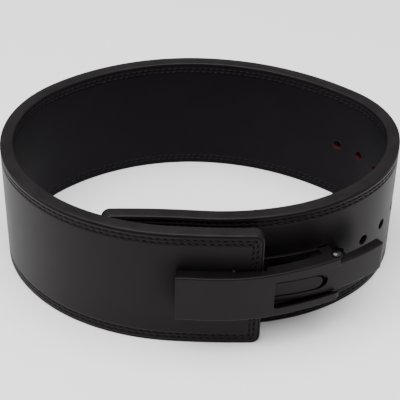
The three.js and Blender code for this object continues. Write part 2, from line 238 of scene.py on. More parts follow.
rim, field, shader = finish_called(
    "leather_rim", Specular_IOR_Level=0.15, Specular_Tint=(1, 0.93, 0.95, 1)
)
clouds = spot(field, 60.0, 3.0)
along = field.node("SeparateXYZ", sockets={0: on_mesh(field, "flat", 1)}) * STREAKS_ALONG
layer = on_mesh(field, "depth") * STREAKS_DEEP
fibre = spot(field, 1.0, 3.0, 0.7, field.node("CombineXYZ", sockets={"X": along, "Y": layer}))
streaks = (clouds * 0.5 + fibre * 0.5).step(0.35, 0.65)
colour = streaks.mix((0.0030, 0.0025, 0.0027), (0.0080, 0.0068, 0.0072))
roughness = clouds * 0.15 + fibre * 0.16 + 0.26
feed(shader, Base_Color=colour, Roughness=roughness, Normal=fibre.bump(0.35, 0.0003))
print(rim.name, "has", len(rim.node_tree.nodes), "nodes")

# %% Raw leather in the holes, and waxed thread
DYE_REACH = (0.0035, 0.008)

raw, field, shader = finish_called("leather_raw", Specular_IOR_Level=0.1)
fibre = spot(field, 900.0, 3.0, 0.7)
undyed = on_mesh(field, "depth").step(*DYE_REACH) * fibre.step(0.2, 0.7)
colour = undyed.mix((0.004, 0.0018, 0.0016), (0.07, 0.013, 0.011))
feed(shader, Base_Color=colour, Roughness=fibre * 0.2 + 0.7, Normal=fibre.bump(0.5, 0.0003))

thread, field, shader = finish_called("waxed_thread", Specular_IOR_Level=0.2)
twist = spot(field, 1800.0, 2.0)
colour = twist.mix((0.0016, 0.0013, 0.0015), (0.0048, 0.0041, 0.0045))
feed(shader, Base_Color=colour, Roughness=twist * 0.2 + 0.4, Normal=twist.bump(0.4, 0.0002))
print("leather finishes:", [m.name for m in bpy.data.materials])

# %% [markdown]
# ## The strap's path
#
# Seen from above, the strap's centre line is a chain of arcs, from the outer end at the front
# round the waist to the tongue end under it. A place on the belt is then given by three numbers:
# the distance along the strap, the offset outwards from its centre line, and the height. Every
# piece is drawn flat in those numbers and bent round the belt by one function.

# %% Centre line
STRAP_LENGTH, STRAP_HEIGHT, STRAP_THICKNESS = 937.5, 101.6, 10.0
START_PLACE = np.array([45.902, -109.170])
START_HEADING = math.radians(-176.64)
ARC_SHARES = np.array([0.0722] + [0.07112] * 12 + [0.07436])
ARC_TURNS = np.radians([
    -6.9, -24.2, -29.88, -39.31, -40.25, -22.65, -22.52,
    -20.29, -18.44, -53.25, -40.31, -27.8, -21.07, 7.15,
])


def centre_line(station):
    """Points and headings of the centre line, in mm and radians.

    On an arc of curvature k, the heading is h + k s, and the point moves by the integral of
    (cos, sin) of it: (sin(h + k s) - sin h) / k along x and (cos h - cos(h + k s)) / k along y.
    """
    lengths = ARC_SHARES * STRAP_LENGTH
    bends = ARC_TURNS / lengths
    headings = START_HEADING + np.concatenate([[0], np.cumsum(ARC_TURNS)])
    steps = np.stack([np.diff(np.sin(headings)), -np.diff(np.cos(headings))], 1) / bends[:, None]
    corners = START_PLACE + np.concatenate([[[0, 0]], np.cumsum(steps, 0)])
    starts = np.concatenate([[0], np.cumsum(lengths)])
    arc = np.clip(np.searchsorted(starts, station, side="right") - 1, 0, len(lengths) - 1)
    heading = headings[arc] + bends[arc] * (station - starts[arc])
    x = corners[arc, 0] + (np.sin(heading) - np.sin(headings[arc])) / bends[arc]
    y = corners[arc, 1] - (np.cos(heading) - np.cos(headings[arc])) / bends[arc]
    return x, y, heading


def bent(station, offset, height):
    """Points in space, in mm, of flat places on the belt: x, y on the centre line plus the offset
    along its outward normal (-sin, cos) of the heading."""
    x, y, heading = centre_line(station)
    places = x - np.sin(heading) * offset, y + np.cos(heading) * offset, height
    return np.stack(np.broadcast_arrays(*places), -1)


def facing(outer_station):
    """Station on the inner run whose normal meets a station on the outer run."""
    trial = np.arange(STRAP_LENGTH * 0.8, STRAP_LENGTH, 0.01)
    x, y, heading = centre_line(trial)
    target_x, target_y, _ = centre_line(np.array(outer_station, float))
    along = (target_x - x) * np.cos(heading) + (target_y - y) * np.sin(heading)
    return trial[np.argmin(np.abs(along))]


lap_line = facing(0.0)
print("the outer end faces station", round(float(lap_line), 2), "of the inner run")

# %% [markdown]
# ## A sheet with rounded edges
#
# Strap, lever, rail and claw are all cut from sheet: leather or steel of one thickness with holes
# and windows. One function makes them all. It takes a flat grid, drops the cells that are cut
# away, and closes the solid with walls whose edges are rounded by a quarter circle. The grid's
# lines may be bent first, so that they follow a round corner or a round hole.

# %% Sheet solid
def sheet_solid(along, across, kept, bend_to, thickness, edge, relief=(0.0, 0.0), rings=3):
    """Vertices, faces, face kinds and flat places (along, across, depth) of a sheet.

    along and across are the flat places of the grid's nodes, kept says which cells are material.
    A node on a cut edge is drawn in by (1 - sin a) of the edge radius while it sinks by
    (1 - cos a) of it, for a from 0 to 90 degrees, then the other skin mirrors that. relief is
    how far the outer and the inner skin are sunk. Kinds: 0 outer skin, 1 inner skin, 2 walls.
    Where kept is None, nothing is cut away.
    """
    rows, columns = along.shape
    if kept is None:
        kept = np.ones((rows - 1, columns - 1), bool)
    node = np.arange(rows * columns).reshape(rows, columns)
    cells = np.stack([node[:-1, :-1], node[1:, :-1], node[1:, 1:], node[:-1, 1:]], -1)[kept]
    flat = np.stack([along.ravel(), across.ravel()], 1)
    sunk, sunk_inside = [np.broadcast_to(part, along.shape).ravel() for part in relief]
    radius = np.broadcast_to(edge, along.shape).ravel()

    sides = np.concatenate([cells[:, [k, (k + 1) % 4]] for k in range(4)])
    key, twin = sides[:, 0] * node.size + sides[:, 1], sides[:, 1] * node.size + sides[:, 0]
    sides = sides[~np.isin(key, twin)]
    run = flat[sides[:, 1]] - flat[sides[:, 0]]
    first, after, before = flat[cells[:, 0]], flat[cells[:, 1]], flat[cells[:, 3]]
    turn = np.sign(np.cross(after - first, before - first).mean())
    normal = np.stack([-run[:, 1], run[:, 0]], 1) * turn / np.linalg.norm(run, axis=1)[:, None]
    summed = np.zeros_like(flat)
    np.add.at(summed, sides[:, 0], normal)
    np.add.at(summed, sides[:, 1], normal)
    rimmed = np.unique(sides)
    inward = 2 * summed[rimmed] / np.maximum((summed[rimmed] ** 2).sum(1), 1.2)[:, None]

    swing = np.linspace(0, np.pi / 2, rings + 1)
    drawn_in, sinking = 1 - np.sin(swing), 1 - np.cos(swing)
    drawn_in = np.concatenate([drawn_in, drawn_in[::-1]])
    deep = np.concatenate([np.zeros(rings + 1), np.ones(rings + 1)])
    sinking = np.concatenate([sinking, -sinking[::-1]])
    rim_radius = radius[rimmed]
    rim_flat = flat[rimmed] + drawn_in[:, None, None] * (inward * rim_radius[:, None])
    rim_depth = deep[:, None] * thickness + sinking[:, None] * rim_radius

    skin = flat.copy()
    skin[rimmed] = rim_flat[0]
    inner_rows = slice(1, 2 * rings + 1)
    places = np.concatenate([skin, skin, rim_flat[inner_rows].reshape(-1, 2)])
    depth = np.concatenate([sunk, thickness - sunk_inside, rim_depth[inner_rows].ravel()])

    number = np.zeros(node.size, int)
    number[rimmed] = np.arange(len(rimmed))
    levels = [sides]
    for level in range(2 * rings):
        levels.append(2 * node.size + level * len(rimmed) + number[sides])
    levels.append(sides + node.size)
    walls = [np.stack([a[:, 1], a[:, 0], b[:, 0], b[:, 1]], 1) for a, b in zip(levels, levels[1:])]
    faces = np.concatenate([cells, (cells + node.size)[:, ::-1], *walls])
    kinds = np.repeat([0, 1, 2], [len(cells), len(cells), len(faces) - 2 * len(cells)])

    used, faces = np.unique(faces, return_inverse=True)
    faces = faces.reshape(-1, 4)
    flat = np.stack([*places[used].T, depth[used]], 1)
    points = bend_to(*flat.T)
    a, b, c, d = np.moveaxis(points[faces], 1, 0)
    volume = (a * (np.cross(b, c) + np.cross(c, d))).sum()
    if volume < 0:
        faces = faces[:, ::-1]
    return points, faces, kinds, flat


print("sheet function ready")

# %% Mesh objects and grid lines
MILLIMETRE = 0.001


def piece(name, points, faces, finishes, kinds=None, flat=None, slot=None, stands_for=(), sharp=40):
    """A mesh object from points in mm, at the origin. Faces narrower than the sharp angle, in
    degrees, shade as one surface. flat becomes a UV map and a depth, in metres."""
    mesh = bpy.data.meshes.new(name)
    mesh.from_pydata((np.asarray(points) * MILLIMETRE).tolist(), [], np.asarray(faces).tolist())
    for finish in finishes:
        mesh.materials.append(finish)
    if kinds is not None:
        mesh.polygons.foreach_set("material_index", np.asarray(kinds, np.int32))
    if flat is not None:
        corner = np.empty(len(mesh.loops), np.int32)
        mesh.loops.foreach_get("vertex_index", corner)
        flat = (flat * MILLIMETRE).astype(np.float32)
        mesh.uv_layers.new(name="flat").uv.foreach_set("vector", flat[corner, :2].ravel())
        mesh.attributes.new("depth", "FLOAT", "POINT").data.foreach_set("value", flat[:, 2].copy())
    mesh.polygons.foreach_set("use_smooth", np.ones(len(mesh.polygons), bool))
    mesh.set_sharp_from_angle(angle=math.radians(sharp))
    mesh.update()
    made = bpy.data.objects.new(name, mesh)
    bpy.context.scene.collection.objects.link(made)
    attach(made, "root")
    if stands_for:
        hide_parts(*stands_for)
    print(name, "has", sum(len(p.vertices) - 2 for p in mesh.polygons), "triangles")


def lines(marks, step):
    """Grid lines through every mark, with even cells no wider than the step between them."""
    counts = [max(1, math.ceil((b - a) / step - 1e-6)) for a, b in zip(marks, marks[1:])]
    parts = [np.linspace(a, b, count + 1)[:-1] for a, b, count in zip(marks, marks[1:], counts)]
    return np.concatenate([*parts, marks[-1:]])


def line_runs(*runs):
    """Grid lines over several runs of (marks, step), each from where the last one ends."""
    parts = [lines(marks, step) for marks, step in runs]
    return np.concatenate([*[part[:-1] for part in parts[:-1]], parts[-1]])


def middle_of(line):
    """Middles of the cells between grid lines."""
    return (line[1:] + line[:-1]) / 2


print("mesh and grid helpers ready")

# %% [markdown]
# ## The strap
#
# One thick layer of leather. Near its rim, the grid's lines run parallel to the edge, round the
# corners too, so that the two stitched channels follow the edge exactly. Round each punched hole
# the square grid is pulled into a circle. The skins sink by a smooth trough along each channel.

# %% Holes and stitch rows
HOLE_RADIUS, HOLE_PITCH, HOLE_COUNT, FIRST_HOLE = 4.0, 24.17, 10, -16.4
PRONG_HOLES = (17.0, 39.0)
CORNER_RADIUS, EDGE_RADIUS, HOLE_EDGE, HOLE_WALL = 7.0, 1.0, 0.5, 0.3
STITCH_ROWS = (4.9, 7.9)
CHANNEL_DEPTH, CHANNEL_HALF = 0.85, 0.95
CREASE, CREASE_DEPTH, CREASE_HALF = 1.5, 0.45, 0.6
INSIDE_SHARE = 0.35

hole_stations = lap_line + FIRST_HOLE - HOLE_PITCH * np.arange(HOLE_COUNT)
outer_trial = np.arange(0, 70, 0.5)
outer_facing = np.array([facing(s) for s in outer_trial])
prong_stations = np.interp(lap_line + np.array(PRONG_HOLES), outer_facing, outer_trial)
all_holes = np.sort(np.concatenate([hole_stations, prong_stations]))
print("hole stations:", np.round(all_holes, 1).tolist())

# %% Strap grid
BLOCK, CELLS = 7.0, 12
RIM_BAND, LONG_CELL, TALL_CELL = 10.5, 2.6, 8.0
CREASE_LINES = [0, 1.25, 1.5, 1.75, 2.1, 3.0]
CHANNEL_LINES = np.array([-0.95, -0.6, -0.3, 0, 0.3, 0.6, 0.95])

half = STRAP_HEIGHT / 2
channel_lines = [row + CHANNEL_LINES for row in STITCH_ROWS]
near_edge = np.concatenate([CREASE_LINES, *channel_lines, [RIM_BAND]])
hole_cells = np.linspace(-BLOCK, BLOCK, CELLS + 1)
heights = np.concatenate([
    near_edge,
    lines([RIM_BAND, half - BLOCK], TALL_CELL)[1:-1],
    half + hole_cells,
    lines([half + BLOCK, STRAP_HEIGHT - RIM_BAND], TALL_CELL)[1:-1],
    STRAP_HEIGHT - near_edge[::-1],
])
marks = [RIM_BAND, *np.add.outer(all_holes, [-BLOCK, BLOCK]).ravel(), STRAP_LENGTH - RIM_BAND]
plain = [lines([a, b], LONG_CELL) for a, b in zip(marks[::2], marks[1::2])]
blocks = [hole + hole_cells[1:-1] for hole in all_holes] + [[]]
runs = [part for pair in zip(plain, blocks) for part in pair]
stations = np.concatenate([near_edge[:-1], *runs, STRAP_LENGTH - near_edge[-2::-1]])
station, height = np.meshgrid(stations, heights, indexing="ij")

from_end = np.minimum(station, STRAP_LENGTH - station)
from_side = np.minimum(height, STRAP_HEIGHT - height)
from_rim = np.minimum(from_end, from_side)
print("strap grid:", station.shape)


# %% Round corners and round holes
def round_corners(end, side, radius):
    """Distances from the end and the side, pulled onto concentric arcs in the corner.

    At depth m = min(end, side) the arc has radius q = radius - m, and a node at a distance t
    from the diagonal lies 45 (1 - t / q) degrees from the tangent point.
    """
    depth = np.minimum(end, side)
    arc = np.maximum(radius - depth, 1e-9)
    swing = np.clip(np.abs(end - side) / arc, 0, 1)
    angle = np.radians(45 * np.where(end < side, 1 - swing, 1 + swing))
    in_corner = (depth < radius) & (np.abs(end - side) < arc)
    return (
        np.where(in_corner, radius - arc * np.cos(angle), end),
        np.where(in_corner, radius - arc * np.sin(angle), side),
    )


def round_hole(x, y, radius, inner, outer):
    """Offsets from a hole's middle, with the square of half width inner pulled into a circle.

    A node on a square side, at the share p of its half width, goes to the angle 45 p degrees.
    Between the circle and the square of half width outer, the two shapes blend.
    """
    reach = np.maximum(np.abs(x), np.abs(y))
    share = np.clip((reach - inner) / (outer - inner), 0, 1)
    upright = np.abs(y) > np.abs(x)
    major, minor = np.where(upright, y, x), np.where(upright, x, y)
    angle = np.radians(45) * minor / np.maximum(reach, 1e-9)
    on_circle = radius * np.sign(major) * np.cos(angle), radius * np.sin(angle)
    on_square = outer * np.sign(major), outer * minor / np.maximum(reach, 1e-9)
    major, minor = [a * (1 - share) + b * share for a, b in zip(on_circle, on_square)]
    return np.where(upright, minor, major), np.where(upright, major, minor)


end, side = round_corners(from_end, from_side, CORNER_RADIUS)
flat_along = np.where(station < STRAP_LENGTH / 2, end, STRAP_LENGTH - end)
flat_up = np.where(height < half, side, STRAP_HEIGHT - side)
kept = np.ones((len(stations) - 1, len(heights) - 1), bool)
edge_radius = np.full(station.shape, EDGE_RADIUS)
in_row = np.abs(middle_of(heights) - half) < BLOCK / 2
for hole in all_holes:
    x, y = station - hole, height - half
    block = (np.abs(x) <= BLOCK) & (np.abs(y) <= BLOCK)
    round_x, round_y = round_hole(x, y, HOLE_RADIUS, BLOCK / 2, BLOCK)
    flat_along = np.where(block, hole + round_x, flat_along)
    flat_up = np.where(block, half + round_y, flat_up)
    edge_radius[block] = HOLE_EDGE
    in_hole = np.abs(middle_of(stations) - hole) < BLOCK / 2
    kept &= ~(in_hole[:, None] & in_row)
print("cells cut away for the holes:", int((~kept).sum()))

# %% Leather body
def trough(middle, width, depth):
    """A smooth furrow along the rim: depth times (1 - x squared) squared, x from -1 to 1 across."""
    return depth * np.clip(1 - ((from_rim - middle) / width) ** 2, 0, 1) ** 2


def from_holes(along, up):
    """Distance from the middle of the nearest hole."""
    return np.min([np.hypot(along - hole, up - half) for hole in all_holes], 0)


def strap_space(along, up, depth):
    return bent(along, STRAP_THICKNESS / 2 - depth, up)


channels = sum(trough(row, CHANNEL_HALF, CHANNEL_DEPTH) for row in STITCH_ROWS)
furrows = trough(CREASE, CREASE_HALF, CREASE_DEPTH) + channels
points, faces, kinds, flat = sheet_solid(
    flat_along, flat_up, kept, strap_space, STRAP_THICKNESS, edge_radius,
    (furrows, furrows * INSIDE_SHARE),
)
near_hole = from_holes(flat[:, 0], flat[:, 1])[faces].mean(1) < HOLE_RADIUS + HOLE_WALL
kinds = np.where((kinds == 2) & near_hole, 3, kinds)
finishes = [outside, inside, rim, raw]
piece("leather_strap", points, faces, finishes, kinds, flat, "black_leather", ["strap"], 50)

# %% [markdown]
# ## Stitching
#
# Each stitch is a short round-ended bar of waxed thread that lies in its channel and dips at both
# ends. The rows run all round the strap on both sides. One stitch is worked out on a small grid,
# and numpy copies it to every place along the rows at once.

# %% Stitches
STITCH_PITCH, STITCH_LENGTH, THREAD_RADIUS, THREAD_FLATNESS = 5.2, 4.5, 0.5, 1.15
SLANT, SPREAD, DIP, INSIDE_LIFT = 0.24, 0.04, 0.45, 0.1
HOLE_MARGIN = 2


def row_places(inset):
    """Middles and directions of the stitches on a rounded rectangle, that far from the edge."""
    radius = max(CORNER_RADIUS - inset, 0.3)
    width = STRAP_LENGTH - 2 * inset - 2 * radius
    tall = STRAP_HEIGHT - 2 * inset - 2 * radius
    sides = np.array([width, radius * np.pi / 2, tall, radius * np.pi / 2] * 2)
    starts = np.concatenate([[0], np.cumsum(sides)])
    count = round(starts[-1] / STITCH_PITCH)
    travel = (np.arange(count) + 0.5) * starts[-1] / count
    leg = np.searchsorted(starts, travel, side="right") - 1
    rest = travel - starts[leg]
    quarter = leg // 2
    straight = leg % 2 == 0
    turn = np.where(straight, 0, rest / radius) + quarter * np.pi / 2
    centre = np.array([[-1, -1], [1, -1], [1, 1], [-1, 1]]) * [width / 2, tall / 2]
    ways = np.array([[1, 0], [0, 1], [-1, 0], [0, -1]])
    away = np.stack([np.sin(turn), -np.cos(turn)], 1) * radius
    on_side = centre[quarter] + ways[quarter] * rest[:, None]
    middle = np.where(straight[:, None], on_side, centre[(quarter + 1) % 4]) + away
    return middle + [STRAP_LENGTH / 2, half], np.stack([np.cos(turn), np.sin(turn)], 1)


def ring_walls(rings, sides):
    """Faces between rings of points, each ring joined to the next one all round."""
    ring = np.arange(sides)
    after = np.roll(ring, -1)
    rows = np.arange(rings - 1)[:, None] * sides
    walls = [rows + ring, rows + after, rows + sides + after, rows + sides + ring]
    return np.stack(walls, -1).reshape(-1, 4)


def stitches(skin):
    """Points and faces of all the stitches on one side: skin is 1 outside and -1 inside.

    Along a stitch, t goes from -1 to 1, its radius is r sqrt(1 - t^6), and its middle line dips
    by t^4. Round it, an angle goes through 360 degrees.
    """
    middle, way = [np.concatenate(parts) for parts in zip(*map(row_places, STITCH_ROWS))]
    clear = from_holes(*middle.T) > HOLE_RADIUS + HOLE_MARGIN
    middle, way = middle[clear], way[clear]
    t = np.array([-1, -0.86, -0.5, 0, 0.5, 0.86, 1])
    angle = np.linspace(0, 2 * np.pi, 6, endpoint=False) + np.pi / 6
    thick = THREAD_RADIUS * np.sqrt(np.maximum(1 - np.abs(t) ** 6, 0.04))
    lengthwise = np.repeat(t * STITCH_LENGTH / 2, len(angle))
    sideways = (thick[:, None] * np.cos(angle)).ravel() * THREAD_FLATNESS
    raised = (thick[:, None] * np.sin(angle) - DIP * t[:, None] ** 4).ravel()
    random = np.random.default_rng(7)
    slant = random.normal(SLANT, SPREAD, len(middle))[:, None]
    lift = random.normal(0, SPREAD, len(middle))[:, None] - THREAD_RADIUS
    lift = lift + (0.0 if skin > 0 else INSIDE_LIFT)
    aside = sideways + slant * lengthwise
    along = middle[:, :1] + way[:, :1] * lengthwise - way[:, 1:] * aside
    up = middle[:, 1:] + way[:, 1:] * lengthwise + way[:, :1] * aside
    points = bent(along, skin * (STRAP_THICKNESS / 2 + lift + raised), up).reshape(-1, 3)
    caps = np.array([[3, 2, 1, 0], [5, 4, 3, 0]])
    far_caps = len(lengthwise) - len(angle) + np.array([[0, 1, 2, 3], [0, 3, 4, 5]])
    one = np.concatenate([ring_walls(len(t), len(angle)), caps, far_caps])[:, ::skin]
    faces = (np.arange(len(middle)) * len(lengthwise))[:, None, None] + one
    return points, faces.reshape(-1, 4)


for name, skin in (("stitching_outside", 1), ("stitching_inside", -1)):
    points, faces = stitches(skin)
    piece(name, points, faces, [thread], slot="black_leather", sharp=80)

# %% [markdown]
# ## Black steel
#
# The buckle is pressed from steel sheet and coated satin black. The coating reads as a dark
# dielectric with a soft gloss. Handling leaves it a little brighter and rougher in patches.

# %% Steel finishes
black_steel, field, shader = finish_called(
    "black_coated_steel", Specular_IOR_Level=0.125, Specular_Tint=(1, 0.9, 0.92, 1)
)
clouds = spot(field, 35.0, 3.0)
peel = spot(field, 700.0, 2.0)
colour = clouds.step(0.3, 0.7).mix((0.0026, 0.0023, 0.0024), (0.0040, 0.0035, 0.0037))
roughness = clouds * 0.12 + peel * 0.05 + 0.34
feed(shader, Base_Color=colour, Roughness=roughness, Normal=peel.bump(0.08, 0.0002))

bright_steel, field, shader = finish_called("bright_rivet_steel", Metallic=1.0)
scratch = spot(field, 500.0, 3.0, 0.7)
colour = scratch.step(0.3, 0.8).mix((0.06, 0.06, 0.063), (0.035, 0.035, 0.036))
feed(shader, Base_Color=colour, Roughness=scratch * 0.2 + 0.2)

for name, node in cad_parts.items():
    if name != "strap":
        node.data.materials.clear()
        node.data.materials.append(bright_steel if "claw_rivet" in name else black_steel)
print("steel finishes ready")

# %% [markdown]
# ## The buckle's places
#
# The buckle follows the strap's bend, so its pieces are drawn in the strap's numbers too: the
# place along the inner run, counted from the lap line, the offset outwards from the strap's
# centre line, and the height. The lever's face has a gentle curve of its own. A polynomial gives
# its rise, and its flanges end just clear of the leather under them.

# %% Curve of the lever
FACE = STRAP_THICKNESS / 2
GAP = 0.35
LEVER_FROM, LEVER_TO, LEVER_FLANGE = -48.7, 57.5, 10.4
LEVER_RISE = np.polynomial.Polynomial(
    [6.987, 4.869, -4.266, -4.07, 5.334, 1.854, -1.985], domain=[-60, 60]
)

outer_points, inner_points = [np.stack(centre_line(s)[:2], -1) for s in (outer_trial, outer_facing)]
layer_gap = np.linalg.norm(outer_points - inner_points, axis=1)


def layer_offset(where):
    """Offset of the outer run's centre line, at places along the inner run."""
    return np.interp(where, outer_facing - lap_line, layer_gap)


def lever_face(where):
    return FACE + layer_gap[0] + LEVER_RISE(where)


def lever_edge(where):
    """Free edge of the flanges: deep beside the rail, just outside the outer end over it."""
    over_end = FACE + layer_offset(np.maximum(where, 0)) + GAP * 2
    return np.where(where < -GAP * 5, lever_face(where) - LEVER_FLANGE, over_end)


def belt_space(where, offset, height):
    return bent(lap_line + np.asarray(where), offset, half + np.asarray(height))


def plate_space(top):
    """Space for a plate along the strap, with its outer face at that offset."""
    return lambda where, height, depth: belt_space(where, top - depth, height)


rises = lever_face(np.array([LEVER_FROM, 0, LEVER_TO]))
print("the lever's face stands", np.round(rises, 1), "mm from the centre line")

# %% [markdown]
# ## Folded sheet
#
# Lever and base rail are each pressed from one piece of sheet: a face whose two long edges fold
# back towards the strap. A flat pattern with its window is cut first and then folded, as on the
# real parts, so the same sheet function serves. A window's corners are rounded by pulling the
# grid's lines onto an arc.

# %% Fold and window corners
WINDOW_FADE = 1.6
COARSE, MIDDLING, FINE = 2.5, 0.7, 0.5


def folded(face_at, edge_at, half_at, wide, bend, firm):
    """Bends a flat pattern into a channel.

    Across the pattern, the face leg is wide minus bend, then a quarter circle of radius bend, and
    the rest is the flange. At a depth under the outer skin, the quarter circle has radius
    bend - depth, or is a plain corner. The face leg shrinks to fit beyond the firm width, where
    the window's walls have to stand square.
    """
    def fold(along, across, depth):
        face, edge, tall = face_at(along), edge_at(along), half_at(along)
        run = np.abs(across)
        leg, arc = wide - bend, bend * np.pi / 2
        inner = np.maximum(bend, depth)
        beyond = firm + (run - firm) * (tall - inner - firm) / (leg - firm)
        on_face = np.where(run < firm, run, beyond)
        swing = np.clip((run - leg) / arc, 0, 1) * np.pi / 2
        spare = np.maximum(bend - depth, 0)
        down = np.maximum(run - leg - arc, 0) * (face - inner - edge) / (face - bend - edge)
        offset = face - inner + spare * np.cos(swing) - down
        height = np.where(run < leg, on_face, tall - inner + spare * np.sin(swing))
        return belt_space(along, offset, height * np.sign(across))
    return fold


def channel(places, rows, leg, arc, flange, cells):
    """Flat pattern of a channel: rows on the face, then the fold, then cells down the flange."""
    rows = np.concatenate([rows, leg + arc * np.array([0.25, 0.5, 0.75, 1.0])])
    drops = leg + arc + flange[:, None] * np.linspace(0, 1, cells + 1)[1:]
    across = np.concatenate([np.broadcast_to(rows, (len(places), len(rows))), drops], 1)
    across = np.concatenate([-across[:, :0:-1], across], 1)
    return np.broadcast_to(places[:, None], across.shape), across


def window(along, across, end, tall, radius, way):
    """Cuts a window with two round corners at its end: gives the pulled grid and what is kept.

    With u the distance into the window from its end and v from its side, the L-shaped line
    u = 0, v = 0 goes to the arc of the radius. The lines round it in the sheet go with it, less
    and less.
    """
    beside = np.abs(middle_of(across[0])) < tall
    cut = ((middle_of(along[:, 0]) - end) * way > 0)[:, None] & beside
    u, v = (along - end) * way, tall - np.abs(across)
    depth = np.maximum(np.maximum(-u, -v), 0)
    u_run, v_run = u + depth, v + depth
    on_end = u_run <= v_run
    share = np.clip(np.where(on_end, v_run, u_run) / radius, 0, 1)
    angle = np.radians(45) * (1 - share)
    near, far = radius * (1 - np.cos(angle)), radius * (1 - np.sin(angle))
    near, far = near * (share < 1), np.where(share < 1, far - share * radius, 0)
    fade = np.clip(1 - depth / (WINDOW_FADE * radius), 0, 1) * (np.minimum(u_run, v_run) < 1e-6)
    shift_u, shift_v = np.where(on_end, near, far) * fade, np.where(on_end, far, near) * fade
    return along + shift_u * way, across - shift_v * np.sign(across), ~cut


def plate(marks, up_marks, space, thickness, edge, round_by=0.0):
    """A plain plate with rounded edges, and round corners where a radius is given."""
    one, two = np.meshgrid(lines(marks, COARSE), lines(up_marks, COARSE), indexing="ij")
    if round_by:
        spans = [(marks[0], marks[-1]), (up_marks[0], up_marks[-1])]
        away = [np.minimum(flat - low, high - flat) for flat, (low, high) in zip((one, two), spans)]
        pulled = round_corners(*away, round_by)
        one, two = [
            np.where(flat < (low + high) / 2, low + pull, high - pull)
            for flat, pull, (low, high) in zip((one, two), pulled, spans)
        ]
    return sheet_solid(one, two, None, space, thickness, edge)[:2]


def together(*parts):
    """One mesh from several: the face numbers of each run on after the points before it."""
    starts = np.cumsum([0] + [len(points) for points, _ in parts])
    faces = [faces + start for (_, faces), start in zip(parts, starts)]
    return np.concatenate([points for points, _ in parts]), np.concatenate(faces)


def steel_piece(name, node, *parts, steel=black_steel, slot="black_steel"):
    """A piece of the buckle from several bodies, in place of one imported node."""
    piece(name, *together(*parts), [steel], slot=slot, stands_for=[node], sharp=50)


print("fold helpers ready")

# %% [markdown]
# ## Lever
#
# The lever is the long curved cover of the buckle. Its right half is a fork round the rail, with
# rounded ears where the rivets go through. Its left end is closed by a small wall, and a lug on
# the top edge gives the fingers a stop.

# %% Lever
SHEET, LEVER_HALF, LEVER_BEND = 2.5, 19.7, 1.2
PRESSED_EDGE, CUT_EDGE, WALL_EDGE, WALL_INSET = 0.4, 0.35, 0.3, 0.3
LEVER_CELL, LEVER_RIM, PAST_WINDOW = 2.0, 1.0, 4.0
WINDOW_HALF, WINDOW_TO, WINDOW_RADIUS, WINDOW_BAND, FIRM_BAND = 12.7, -6.0, 2.5, 3.0, 0.2
RIVET_PLACE, RIVET_DROP, EAR_RADIUS, EAR_FADE, EARS_TO = -47.9, 5.6, 4.4, 5.0, -43.0
rivet_offset = lever_face(RIVET_PLACE) - RIVET_DROP

face_leg, bend_leg = LEVER_HALF - LEVER_BEND, LEVER_BEND * np.pi / 2
past_window = WINDOW_TO + PAST_WINDOW
places = line_runs(
    ([LEVER_FROM, EARS_TO, WINDOW_TO - WINDOW_BAND], LEVER_CELL),
    ([WINDOW_TO - WINDOW_BAND, WINDOW_TO, past_window], FINE),
    ([past_window, past_window + LEVER_RIM, LEVER_TO - 2 * LEVER_RIM, LEVER_TO - LEVER_RIM, LEVER_TO],
     LEVER_CELL),
)
window_side = WINDOW_HALF - WINDOW_BAND
rows = line_runs(([0, window_side], COARSE), ([window_side, WINDOW_HALF, face_leg], FINE))
flange = lever_face(places) - LEVER_BEND - lever_edge(places)
along, across = channel(places, rows, face_leg, bend_leg, flange, 7)
along, across, solid = window(along, across, WINDOW_TO, WINDOW_HALF, WINDOW_RADIUS, -1)

flange_drop = np.maximum(np.abs(across) - face_leg - bend_leg, 0) + LEVER_BEND
ear_half = np.sqrt(np.maximum(EAR_RADIUS**2 - (flange_drop - RIVET_DROP) ** 2, 0))
ear_reach = np.maximum(ear_half - (RIVET_PLACE - LEVER_FROM), 0)
ear_reach = ear_reach * (np.abs(across) > face_leg + bend_leg)
along -= ear_reach * np.clip(1 - (along - LEVER_FROM) / EAR_FADE, 0, 1)

lever_space = folded(
    lever_face, lever_edge, lambda where: LEVER_HALF,
    LEVER_HALF, LEVER_BEND, WINDOW_HALF + FIRM_BAND,
)
cover = sheet_solid(along, across, solid, lever_space, SHEET, PRESSED_EDGE)[:2]

wall_inside = LEVER_HALF - SHEET
end_wall = plate(
    [float(lever_edge(LEVER_TO)), float(lever_face(LEVER_TO)) - SHEET], [-wall_inside, wall_inside],
    lambda offset, height, depth: belt_space(LEVER_TO - WALL_INSET - depth, offset, height),
    SHEET, WALL_EDGE,
)
print("the lever's cover has", len(cover[1]), "faces")


# %% Round bodies
def turned(profile, sides=36):
    """A closed round body: each point (radius, distance along the axis) of the profile goes
    through 360 degrees, and flat ends close it. Gives flat circles: x, y and the distance."""
    radius, rise = np.array(profile, float).T
    angle = np.linspace(0, 2 * np.pi, sides, endpoint=False)
    x, y = radius[:, None] * np.cos(angle), radius[:, None] * np.sin(angle)
    z = np.broadcast_to(rise[:, None], x.shape)
    fan = np.arange(1, sides - 2, 2)
    cap = np.stack([fan * 0, fan, fan + 1, fan + 2], -1)
    walls = ring_walls(len(radius), sides)
    faces = np.concatenate([walls, cap[:, ::-1], cap + (len(radius) - 1) * sides])
    return (x.ravel(), y.ravel(), z.ravel()), faces if rise[-1] > rise[0] else faces[:, ::-1]


def dome(radius, foot, rise, steps=7):
    """Profile of a quarter ellipse, from its rim at the foot to a small flat at the top."""
    swing = np.linspace(0, np.radians(82), steps)
    return [(radius * math.cos(a), foot + rise * math.sin(a)) for a in swing]


def upright_body(where, offset, profile):
    """A round body on an upright axis at one place of the buckle. Heights count from the middle."""
    (x, y, z), faces = turned(profile)
    foot = belt_space(where, offset, 0.0)
    return np.stack([foot[0] + x, foot[1] + y, foot[2] + z], -1), faces


